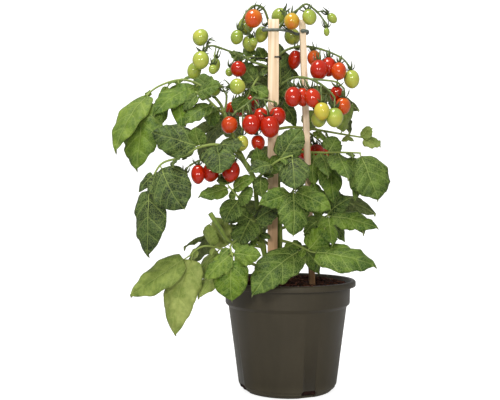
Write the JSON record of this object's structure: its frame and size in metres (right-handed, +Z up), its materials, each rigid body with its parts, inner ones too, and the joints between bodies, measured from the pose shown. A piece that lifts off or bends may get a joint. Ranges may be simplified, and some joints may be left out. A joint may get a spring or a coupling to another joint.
{
  "type": "potted plum tomato plant",
  "caption": "Bushy tomato plant in a round nursery pot, with compound leaves, hanging trusses of small plum fruit and two wooden slats tied with wire.",
  "frame": {"origin": "middle of the pot's base, on the surface that it stands on", "axes": "+Z up along the pot's axis, -Y towards the side with the two slats and the nearest fruit, +X to the right of that side"},
  "size_m": [0.3588, 0.2564, 0.5282],
  "materials": {
    "pot_plastic": "satin moulded polypropylene, dark brown-grey",
    "coir": "loose dark red-brown coir and peat",
    "slat_wood": "planed pale wood, browner near the coir",
    "wire_green": "grey-green coated soft wire",
    "wire_black": "black sleeved wire",
    "stem_green": "matt green stem with fine hairs",
    "leaf_green": "soft veined leaf, paler underneath",
    "truss_green": "green stalks, calyces and unripe fruit",
    "ripe_fruit": "glossy red to orange skin"
  },
  "bodies": {
    "root": {"coir": "coir", "leaf_back_high": "leaf_green", "leaf_back_left": "leaf_green", "leaf_back_low": "leaf_green", "leaf_back_low_left": "leaf_green", "leaf_back_low_right": "leaf_green", "leaf_back_middle": "leaf_green", "leaf_back_right": "leaf_green", "leaf_between_slats": "leaf_green", "leaf_centre_left": "leaf_green", "leaf_front_centre": "leaf_green", "leaf_front_left": "leaf_green", "leaf_front_right": "leaf_green", "leaf_front_upper": "leaf_green", "leaf_left_high": "leaf_green", "leaf_left_inner": "leaf_green", "leaf_left_low": "leaf_green", "leaf_left_middle": "leaf_green", "leaf_low_dark": "leaf_green", "leaf_right_large": "leaf_green", "leaf_right_low": "leaf_green", "leaf_right_middle": "leaf_green", "leaf_top_left": "leaf_green", "leaf_upper_left": "leaf_green", "pot": "pot_plastic", "slat_left": "slat_wood", "slat_right": "slat_wood", "stem": "stem_green", "tie_lower": "wire_black", "tie_top": "wire_green", "truss_back_left": "truss_green", "truss_back_left_ripe_1": "ripe_fruit", "truss_back_right": "truss_green", "truss_back_right_ripe_1": "ripe_fruit", "truss_back_right_ripe_2": "ripe_fruit", "truss_back_right_ripe_3": "ripe_fruit", "truss_centre": "truss_green", "truss_centre_ripe_1": "ripe_fruit", "truss_centre_ripe_2": "ripe_fruit", "truss_centre_ripe_3": "ripe_fruit", "truss_left": "truss_green", "truss_left_low": "truss_green", "truss_left_low_ripe_1": "ripe_fruit", "truss_left_low_ripe_2": "ripe_fruit", "truss_left_ripe_1": "ripe_fruit", "truss_left_young": "truss_green", "truss_right": "truss_green", "truss_right_high": "truss_green", "truss_right_high_ripe_1": "ripe_fruit", "truss_right_high_ripe_2": "ripe_fruit", "truss_right_high_ripe_3": "ripe_fruit", "truss_right_ripe_1": "ripe_fruit", "truss_right_ripe_2": "ripe_fruit", "truss_right_ripe_3": "ripe_fruit", "truss_top_left": "truss_green", "truss_top_left_ripe_1": "ripe_fruit", "truss_top_right": "truss_green"}
  },
  "joints": []
}
